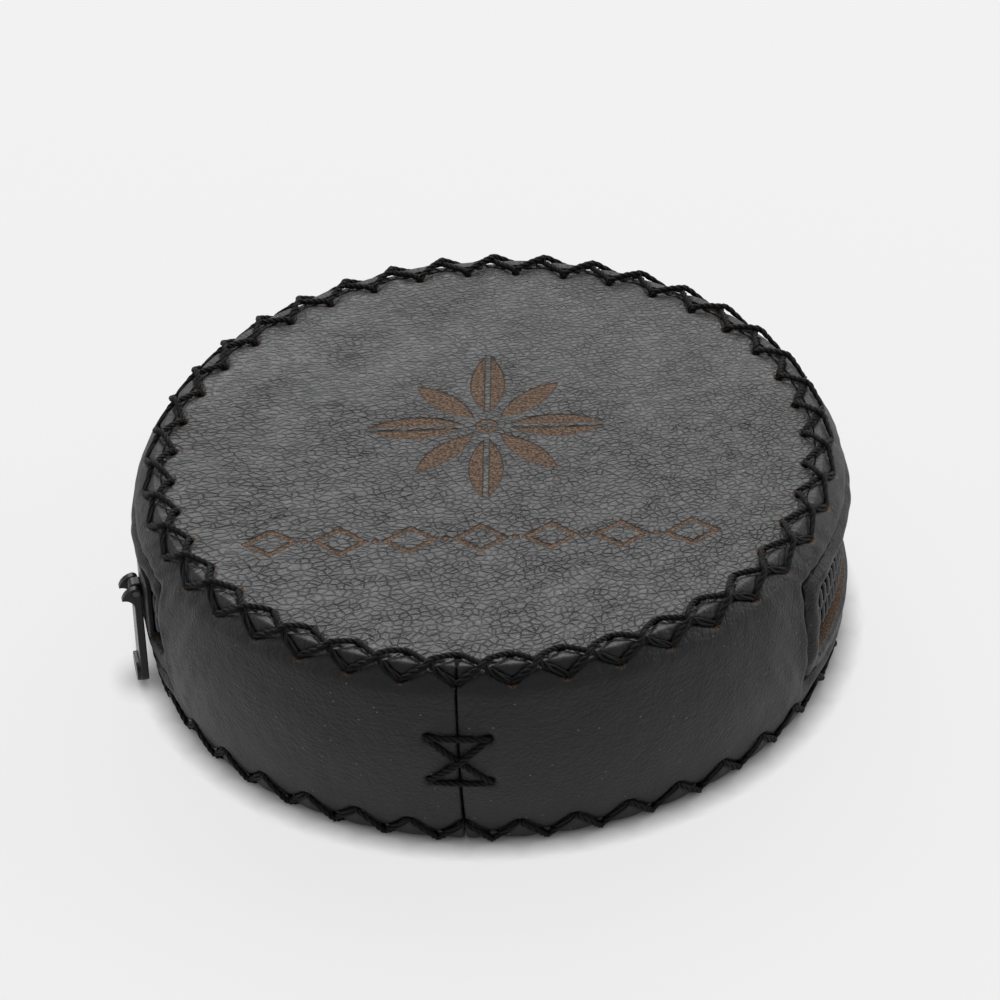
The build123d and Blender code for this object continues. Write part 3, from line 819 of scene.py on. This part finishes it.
def side_band():
    """The band as a thick mesh with its window cut out: points, faces, and the attributes raw (a
    corner's), grain and creased (a point's)."""
    outer_r, outer_z, inner_r, inner_z, rims = band_rows()
    azimuth = band_columns()
    a, r = np.meshgrid(azimuth, outer_r)
    z, ri, zi = (np.broadcast_to(v[:, None], a.shape) for v in (outer_z, inner_r, inner_z))

    dr, dz = np.gradient(outer_r), np.gradient(outer_z)
    length = np.hypot(dr, dz)
    nr, nz = (dz / length)[:, None], (-dr / length)[:, None]
    relief = band_relief(a, z, rims)
    _, _, _, shift_a, shift_z = window_edge(a, z)
    gap = 0.09 + 0.08 * smooth(20, 3, z) + 0.02 * ripple(z, z * 0, 4, 11)
    spread = np.exp(-from_seam(a) / 1.5) * gap / WALL_DEGREE * np.where(a < 180, 1, -1)
    moved = a + shift_a + spread
    outer = round_z(moved, r + nr * relief, z + nz * relief + shift_z)
    inner = round_z(moved, ri, zi + shift_z)
    points = join([outer.reshape(-1, 3), inner.reshape(-1, 3)])

    plain = outer_z[RIM_ROWS:-RIM_ROWS]
    first, last = (nearest(plain, height) + RIM_ROWS for height in (WINDOW_LOW, WINDOW_HIGH))
    left, right = (nearest(azimuth, end) for end in (WINDOW_END, 360 - WINDOW_END))
    kept = np.ones((len(outer_z) - 1, len(azimuth) - 1), bool)
    kept[first:last, left:right] = False
    front, back, edges = sheet_faces(kept)

    cut = edge_raw(points[edges].mean(axis=1))
    raw = [hole_raw(a, rims)[front].ravel(), np.full(back.size, FLESH_RAW), np.repeat(cut, 4)]
    arc = a * WALL_DEGREE
    lean = arc - 0.45 * z * np.clip(1.5 * np.sin(np.radians(a)), -1, 1)
    grain_at = [listed(lean, z, 0 * z + depth) for depth in (0, LEATHER)]
    creased = 0.35 + 0.65 * smooth(40, 60, from_front(a)) + 0.3 * ripple(arc, z, 12, 12)
    creased = np.tile(np.clip(creased, 0.1, 1).ravel(), 2)
    faces = join([front, back, edges])
    return points, faces, join(raw), join(grain_at), creased


def band_object(name, band, keep):
    """One object from the band's kept faces."""
    points, faces, raw, grain_at, creased = band
    used, index = np.unique(faces[keep], return_inverse=True)
    made = mesh_object(
        name, points[used], index.reshape(-1, 4), SIDE_LEATHER_PAINTED_SHADED,
        grain=grain_at[used], raw=raw.reshape(-1, 4)[keep].ravel(), creased=creased[used],
    )
    made.data.set_sharp_from_angle(angle=math.radians(55))
    return made


band = side_band()
centres = band[0][band[1]].mean(axis=1)
under_window = (centres[:, 2] < WINDOW_CENTRE) & (
    np.degrees(np.abs(np.arctan2(centres[:, 0], -centres[:, 1]))) > WINDOW_END - 1e-6
)
band_upper = band_object("side_band_leather", band, ~under_window)
fold(band_upper)
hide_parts("side_band_upper", "side_band")
band_lower = band_object("side_band_lower_strip", band, under_window)
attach(band_lower, "base")

# ---- threads and tubes

STRAND = 0.205  # radius of one of a thread's three strands
LAY_PITCH = 2.3


def chaikin(points, times_cut=3):
    """Corner-cut curves through arrays of points (curves, points, values), ends kept."""
    for _ in range(times_cut):
        a, b = points[:, :-1], points[:, 1:]
        cut = np.stack([0.75 * a + 0.25 * b, 0.25 * a + 0.75 * b], axis=2)
        cut = cut.reshape(len(points), -1, points.shape[2])
        points = join([points[:, :1], cut, points[:, -1:]], axis=1)
    return points


def unit(vectors):
    return vectors / np.maximum(np.linalg.norm(vectors, axis=-1, keepdims=True), 1e-9)


def across_paths(paths, reference):
    """Two directions square to each path and each other, the first towards the reference."""
    tangent = unit(np.gradient(paths, axis=1))
    normal = unit(reference - (reference * tangent).sum(-1, keepdims=True) * tangent)
    return normal, np.cross(tangent, normal)


def running_sum(steps):
    """Sums along each row, from 0."""
    return join([np.zeros((len(steps), 1)), np.cumsum(steps, axis=1)], axis=1)


def step_lengths(paths):
    return np.linalg.norm(np.diff(paths, axis=1), axis=-1)


def tubes(paths, reference, radius, sides=7):
    """Round tubes along paths (curves, points, xyz). Returns points, faces and the lay
    coordinates that run along each tube."""
    count, rings = paths.shape[:2]
    normal, other = across_paths(paths, reference)
    turn = np.linspace(0, 2 * np.pi, sides, endpoint=False)
    radius = np.broadcast_to(radius, paths.shape[:2])
    circle = np.cos(turn)[:, None] * normal[:, :, None] + np.sin(turn)[:, None] * other[:, :, None]
    points = paths[:, :, None] + radius[:, :, None, None] * circle
    along = running_sum(step_lengths(paths)) + 17.3 * np.arange(count)[:, None]
    round_it = 0.3 * np.cos(turn), 0.3 * np.sin(turn)
    lay = np.stack(np.broadcast_arrays(along[:, :, None], *round_it), axis=-1)
    starts = (np.arange(count) * rings * sides)[:, None, None]
    faces = grid_faces(rings, sides)[None] + starts
    return points.reshape(-1, 3), faces.reshape(-1, 4), lay.reshape(-1, 3)


def rope(paths, reference, phases, loose, strand):
    """Three-strand ropes along paths; `loose` from 0 to 1 lays the strands flat side by side."""
    normal, other = across_paths(paths, reference)
    loose, strand = (np.broadcast_to(v, paths.shape[:2]) for v in (loose, strand))
    pace = step_lengths(paths) * (1 - 0.85 * (loose[:, 1:] + loose[:, :-1]) / 2)
    twist = 2 * np.pi / LAY_PITCH * running_sum(pace)
    wide, high = strand * 1.02 * (1 + 0.7 * loose), strand * 1.02 * (1 - 0.5 * loose)
    strands = []
    for k in range(3):
        angle = twist + phases[:, None] + 2 * np.pi * k / 3
        sideways = (np.cos(angle) * wide)[..., None] * normal
        outward = (np.sin(angle) * high)[..., None] * other
        strands.append(paths + sideways + outward)
    reference = np.broadcast_to(reference, paths.shape)
    return tubes(join(strands), join([reference] * 3), join([strand] * 3))


def tube_object(name, made, surface):
    """One object from the results of `tubes`."""
    starts = np.cumsum([0] + [len(points) for points, _, _ in made])
    faces = [quads + start for (_, quads, _), start in zip(made, starts)]
    points, lay = join([m[0] for m in made]), join([m[2] for m in made])
    return mesh_object(name, points, join(faces), surface, lay=lay)


def around_z(path):
    """Direction round the purse at each point of a path."""
    return unit(np.cross((0, 0, 1), path * (1, 1, 0)))


# ---- hand stitching

HALF_STITCH = 4.42  # degrees
UNDER = -1.3  # where a thread ends below the leather's face, out of sight
CROSSING_RISE = {True: 0.60, False: 0.25}  # of the leg that lies over the other one
HAND_JITTER = (0.10, 0.06, 0.03)  # degrees, along and up
SEAM_LEG_LIFT = 0.16  # of a seam stitch's leg off the wall
SEAM_TOP_LIFT = 0.62


def rim_legs(top, azimuths, over):
    """Centre lines of one leg of each cross stitch, and the direction round the purse. A leg's
    route is azimuths, distances along the rim and heights above the leather."""
    half = -HALF_STITCH if over else HALF_STITCH
    rise = CROSSING_RISE[top] if over else 0.0
    inner, outer = PANEL_HOLE[top], BAND_HOLE[top]
    route = np.array([
        (-half, inner, UNDER), (-half, inner, -0.1), (-half * 0.95, inner * 0.88, 0.30),
        (-half * 0.55, inner * 0.55, 0.40 + 0.5 * rise), (0, 0, 0.30 + rise),
        (half * 0.5, outer * 0.5, 0.18 + 0.45 * rise), (half * 0.93, outer * 0.92, 0.10),
        (half, outer, -0.15), (half, outer, UNDER),
    ])
    routes = np.broadcast_to(route, (len(azimuths), *route.shape)).copy()
    routes[:, 2:-2] += rng.normal(0, 1, routes[:, 2:-2].shape) * HAND_JITTER
    routes = chaikin(routes)
    radius, height = rim_section(top, routes[..., 1], routes[..., 2])
    path = round_z(routes[..., 0] + azimuths[:, None], radius, height)
    return path, around_z(path)


def rim_thread(name, top):
    """All the cross stitches of a rim, as one mesh."""
    crossings = SEAM + PITCH * (np.arange(STITCHES) + 0.5)
    made = []
    for over in (False, True):
        path, around = rim_legs(top, crossings, over)
        share = np.linspace(0, 1, path.shape[1])
        loose = (0.5 if over else 1.0) * smooth(0.5, 0.65, share) * smooth(0.95, 0.8, share)
        width = STRAND * (1 - 0.22 * smooth(0.55, 0.8, share))
        phases = rng.uniform(0, 2 * np.pi, STITCHES)
        made.append(rope(path, around, phases, loose, width))
    return tube_object(name, made, THREAD)


def seam_leg(z0, z1, lift):
    """Route of a leg from a hole on the left at one height to one on the right at another:
    azimuths from the seam, heights and distances off the wall."""
    half, fall, rise = SEAM_STITCH_HALF, z1 - z0, 0.4 * (lift - SEAM_LEG_LIFT)
    return [
        (-half, z0, UNDER), (-half, z0, 0.0), (-0.92 * half, z0 + 0.04 * fall, 0.10),
        (-0.5 * half, z0 + 0.25 * fall, 0.15 + rise), (0, (z0 + z1) / 2, lift),
        (0.5 * half, z1 - 0.25 * fall, 0.15 + rise), (0.92 * half, z1 - 0.04 * fall, 0.10),
        (half, z1, 0.0), (half, z1, UNDER),
    ]


def seam_stitch(name):
    """The hourglass across the front seam: two bars and a cross, whose last leg is uppermost."""
    top, bottom = SEAM_STITCH_TOP, SEAM_STITCH_BOTTOM
    routes = chaikin(np.array([
        seam_leg(top + 0.1, top + 0.1, SEAM_LEG_LIFT),
        seam_leg(bottom - 0.1, bottom - 0.1, SEAM_LEG_LIFT),
        seam_leg(top - 0.05, bottom + 0.05, SEAM_LEG_LIFT),
        seam_leg(bottom + 0.05, top - 0.05, SEAM_TOP_LIFT),
    ]))
    path = round_z(SEAM + routes[..., 0], wall_radius(routes[..., 1]) + routes[..., 2], routes[..., 1])
    share = np.linspace(0, 1, path.shape[1])
    width = STRAND * (0.75 + 0.25 * smooth(0.1, 0.3, share) * smooth(0.9, 0.7, share))
    phases = np.array([0.3, 1.9, 4.0, 5.2])
    upward = np.broadcast_to((0, 0, 1.0), path.shape)
    return tube_object(name, [rope(path, upward, phases, 0.25, width)], THREAD)


top_thread = rim_thread("top_rim_stitches", True)
fold(top_thread)
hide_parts("top_rim_thread_front", "top_rim_thread_hinge", "top_rim_thread_rear")
bottom_thread = rim_thread("bottom_rim_stitches", False)
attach(bottom_thread, "base")
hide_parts("bottom_rim_thread")

seam_thread = seam_stitch("front_seam_stitch")
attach(seam_thread, "base")
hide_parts("front_seam_thread")

# ---- zip coils

COIL_PITCH = 1.5
COIL_WIRE = 0.31  # radius
COIL_RADIUS = 44.62
COIL_END = 68.2  # azimuth
COIL_OFF_CENTRE = 1.25
COIL_HALF_HEIGHT = 1.55
COIL_HALF_THICK = 0.34
COIL_SLANT = 0.16  # of a pitch
COIL_STEPS = 20  # in a turn


def coil(name, upward):
    """One row of the zip: a flattened helix of nylon whose heads reach the middle of the chain."""
    length = (360 - 2 * COIL_END) * math.radians(1) * COIL_RADIUS
    turns = int(length / COIL_PITCH)
    t = np.arange(turns * COIL_STEPS + 1) / COIL_STEPS
    phase = 2 * np.pi * t
    z = WINDOW_CENTRE + upward * (COIL_OFF_CENTRE + COIL_HALF_HEIGHT * np.cos(phase))
    flattened = np.sign(np.sin(phase)) * np.abs(np.sin(phase)) ** 0.45
    interlocked = 0.5 if upward > 0 else 0
    pitch = math.degrees(COIL_PITCH / COIL_RADIUS)
    azimuth = COIL_END + (t + COIL_SLANT * np.cos(phase) + interlocked) * pitch
    path = round_z(azimuth, COIL_RADIUS + COIL_HALF_THICK * flattened, z)[None]
    return tube_object(name, [tubes(path, around_z(path), COIL_WIRE)], COIL)


coil_upper = coil("zip_coil_upper", 1)
fold(coil_upper)
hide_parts("zipper_coil_upper")
coil_lower = coil("zip_coil_lower", -1)
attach(coil_lower, "base")
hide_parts("zipper_coil_lower")

# ---- zip tapes

TAPE_END = 56.0  # azimuth
TAPE_HALF_GAP = 0.5  # between the tapes
TAPE_FRONT = 2.1  # depths of its two faces below the band's outer face
TAPE_BACK = 2.6
TAPE_LOW = 4.2
TAPE_HIGH = 24.4
TAPE_ROWS = 24


def tape(name, low, high):
    """Woven strip behind the window."""
    azimuth = np.linspace(TAPE_END, 360 - TAPE_END, 420)
    upright = np.linspace(low, high, TAPE_ROWS)
    a, z = np.meshgrid(azimuth, join([upright, upright[::-1]]), indexing="ij")
    depth = np.broadcast_to(np.repeat([TAPE_FRONT, TAPE_BACK], TAPE_ROWS), a.shape)
    wave = 0.06 * ripple(a * 0.8, z, wavelength=6, seed=21)
    points = round_z(a, wall_radius(z) - depth + wave, z).reshape(-1, 3)
    faces = grid_faces(len(azimuth), 2 * TAPE_ROWS)
    return mesh_object(name, points, faces, TAPE, grain=listed(a * 0.78, z, depth))


tape_upper = tape("zip_tape_upper", WINDOW_CENTRE + TAPE_HALF_GAP, TAPE_HIGH)
fold(tape_upper)
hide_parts("zipper_tape_upper", "zipper_tape_ends")
tape_lower = tape("zip_tape_lower", TAPE_LOW, WINDOW_CENTRE - TAPE_HALF_GAP)
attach(tape_lower, "base")
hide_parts("zipper_tape_lower")

# ---- machine sewing

MACHINE_STITCH = 2.5
MACHINE_THREAD = 0.24
MACHINE_RISE = 0.42  # of the thread's crowns over its dips
MACHINE_STEP = (0.16, 0.12)  # degrees and height between the route's points


def machine_stitches(name, corners):
    """Thread in the groove round the window, which dips into the leather after every stitch. The
    corners of its route are azimuths and heights."""
    corners = np.array(corners, float)
    legs = []
    for start, end in zip(corners, corners[1:]):
        count = 2 + int(np.abs((end - start) / MACHINE_STEP).max())
        legs.append(np.linspace(start, end, count)[:-1])
    route = join(legs + [corners[-1:]])
    _, side, level, shift_a, shift_z = window_edge(route[:, 0], route[:, 1])
    azimuth, z = route[:, 0] + shift_a, route[:, 1] + shift_z
    depth = SEW_DEPTH + 0.1 + end_tuck(route[:, 0], side, level)
    along = running_sum(np.hypot(np.diff(azimuth) * WALL_DEGREE, np.diff(z))[None])[0]
    wave = np.abs(np.sin(np.pi * along / MACHINE_STITCH)) ** 0.6
    path = round_z(azimuth, wall_radius(z) - depth + MACHINE_RISE * wave, z)[None]
    width = MACHINE_THREAD * (0.7 + 0.3 * wave)[None]
    return tube_object(name, [tubes(path, unit(path * (1, 1, 0)), width, sides=9)], THREAD)


sew_high, sew_low = WINDOW_HIGH + SEW_LINE, WINDOW_LOW - SEW_LINE
sew_side = WINDOW_END - SEW_LINE / WALL_DEGREE
sewing_upper = machine_stitches("machine_stitches_upper", [
    (WINDOW_END, sew_high), (360 - WINDOW_END, sew_high),
])
fold(sewing_upper)
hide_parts("zipper_sewing_upper")
sewing_lower = machine_stitches("machine_stitches_lower", [
    (WINDOW_END, sew_high), (sew_side, sew_high), (sew_side, sew_low), (360 - sew_side, sew_low),
    (360 - sew_side, sew_high), (360 - WINDOW_END, sew_high),
])
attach(sewing_lower, "base")
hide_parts("zipper_sewing_lower")

# ---- slider and pull

VOXEL = 0.07
ROUNDING = (0.5, 8)  # strength and passes


def softened(name, node_name, body):
    """A casting as the CAD has it, with its edges worn round."""
    piece = linked(name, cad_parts[node_name].data.copy())
    remesh = piece.modifiers.new("remesh", "REMESH")
    remesh.mode, remesh.voxel_size, remesh.use_smooth_shade = "VOXEL", VOXEL * MM, True
    rounding = piece.modifiers.new("rounding", "SMOOTH")
    rounding.factor, rounding.iterations = ROUNDING
    evaluated = piece.evaluated_get(bpy.context.evaluated_depsgraph_get())
    shape = bpy.data.meshes.new_from_object(evaluated)
    piece.modifiers.clear()
    piece.data = shape
    shape.materials.clear()
    shape.materials.append(METAL)
    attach(piece, body)
    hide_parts(node_name)


softened("slider_plates", "slider_body", "slider")
softened("slider_lug", "slider_crown", "slider")
softened("pull_bar", "pull_tab", "pull")
pin_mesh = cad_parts["pull_pin"].data
pin_mesh.materials.clear()
pin_mesh.materials.append(METAL)

# ---- floor and light, in metres

FLOOR_HALF = 4.0
FLOOR_GLOW = 0.765
CONTACT = 3.8 * MM  # reach of the contact shadow
WORLD_COLOUR = (0.98, 0.99, 1.0, 1)
WORLD_STRENGTH = 0.40
AIM = Vector((0, 0, 0.015))


def stage():
    """Pale sheet that glows evenly, its glow dimmed by ambient occlusion round the purse into a painted
    contact shadow, so that only that shadow shows.
    """
    made, tree, shader = material("pale_floor", roughness=0.9, specular_ior_level=0.0)
    # ambient occlusion darkens the floor's glow near the purse: painted contact shadow
    near = node("AmbientOcclusion", {"Distance": CONTACT}, tree, samples=16).outputs["AO"]
    near = maths("POWER", near, 1.4)
    cloud = noise(node("TexCoord", tree=tree).outputs["Object"], 3.0, 2.0)
    tone = mixed(cloud, (0.078, 0.078, 0.078, 1), (0.082, 0.082, 0.082, 1))
    tree.links.new(tone, shader.inputs["Base Color"])
    shader.inputs["Emission Color"].default_value = (1, 1, 1, 1)
    tree.links.new(times(near, FLOOR_GLOW), shader.inputs["Emission Strength"])
    corners = [(x * FLOOR_HALF, y * FLOOR_HALF, 0) for x, y in ((-1, -1), (1, -1), (1, 1), (-1, 1))]
    mesh = bpy.data.meshes.new("floor")
    mesh.from_pydata(corners, [], [(0, 1, 2, 3)])
    mesh.materials.append(made)
    floor = linked("floor", mesh)


def softbox(name, place, size, radiance):
    """Rectangular light aimed at the purse, of a given brightness."""
    data = bpy.data.lights.new(name, "AREA")
    data.shape, data.size, data.size_y = "RECTANGLE", *size
    data.energy = radiance * math.pi * size[0] * size[1]
    made = linked(name, data)
    made.location = place
    made.rotation_mode = "QUATERNION"
    made.rotation_quaternion = (Vector(place) - AIM).to_track_quat("Z", "Y")


stage()
world = bpy.data.worlds.new("studio")
world.use_nodes = True
background = world.node_tree.nodes["Background"]
background.inputs["Color"].default_value = WORLD_COLOUR
background.inputs["Strength"].default_value = WORLD_STRENGTH
scene.world = world
softbox("back_softbox", (0.0, 0.85, 0.75), (1.5, 0.9), radiance=4.1)
softbox("top_softbox", (-0.25, -0.1, 1.2), (0.8, 0.8), radiance=1.0)
softbox("right_softbox", (0.95, 0.3, 0.5), (0.6, 0.5), radiance=5.0)
softbox("left_softbox", (-0.95, 0.2, 0.4), (0.4, 0.5), radiance=2.5)

# ---- camera

CAMERA_AZIMUTH = 5.15
CAMERA_ELEVATION = 36.98
CAMERA_ROLL = 3.23
CAMERA_DISTANCE = 0.931  # from the middle of the top, in metres
CAMERA_LENS = 261.5
CAMERA_SENSOR = 36.0
CAMERA_SHIFT = (0.0122, -0.0431)


def camera():
    """Camera with a long lens, a little to the right of the seam and slightly rolled."""
    a, e, roll = (math.radians(v) for v in (CAMERA_AZIMUTH, CAMERA_ELEVATION, CAMERA_ROLL))
    back = Vector((math.sin(a) * math.cos(e), -math.cos(a) * math.cos(e), math.sin(e)))
    level = Vector((math.cos(a), math.sin(a), 0))
    up = back.cross(level)
    right_turned = level * math.cos(roll) - up * math.sin(roll)
    up_turned = up * math.cos(roll) + level * math.sin(roll)
    data = bpy.data.cameras.new("camera")
    data.lens, data.sensor_width = CAMERA_LENS, CAMERA_SENSOR
    data.shift_x, data.shift_y = CAMERA_SHIFT
    data.clip_start, data.clip_end = 0.01, 50.0
    made = linked("camera", data)
    turn = Matrix((right_turned, up_turned, back)).transposed().to_4x4()
    place = Vector((0, 0, HEIGHT * MM)) + back * CAMERA_DISTANCE
    made.matrix_world = Matrix.Translation(place) @ turn
    scene.camera = made


camera()
scene.view_settings.view_transform = "Standard"
scene.view_settings.look = "None"
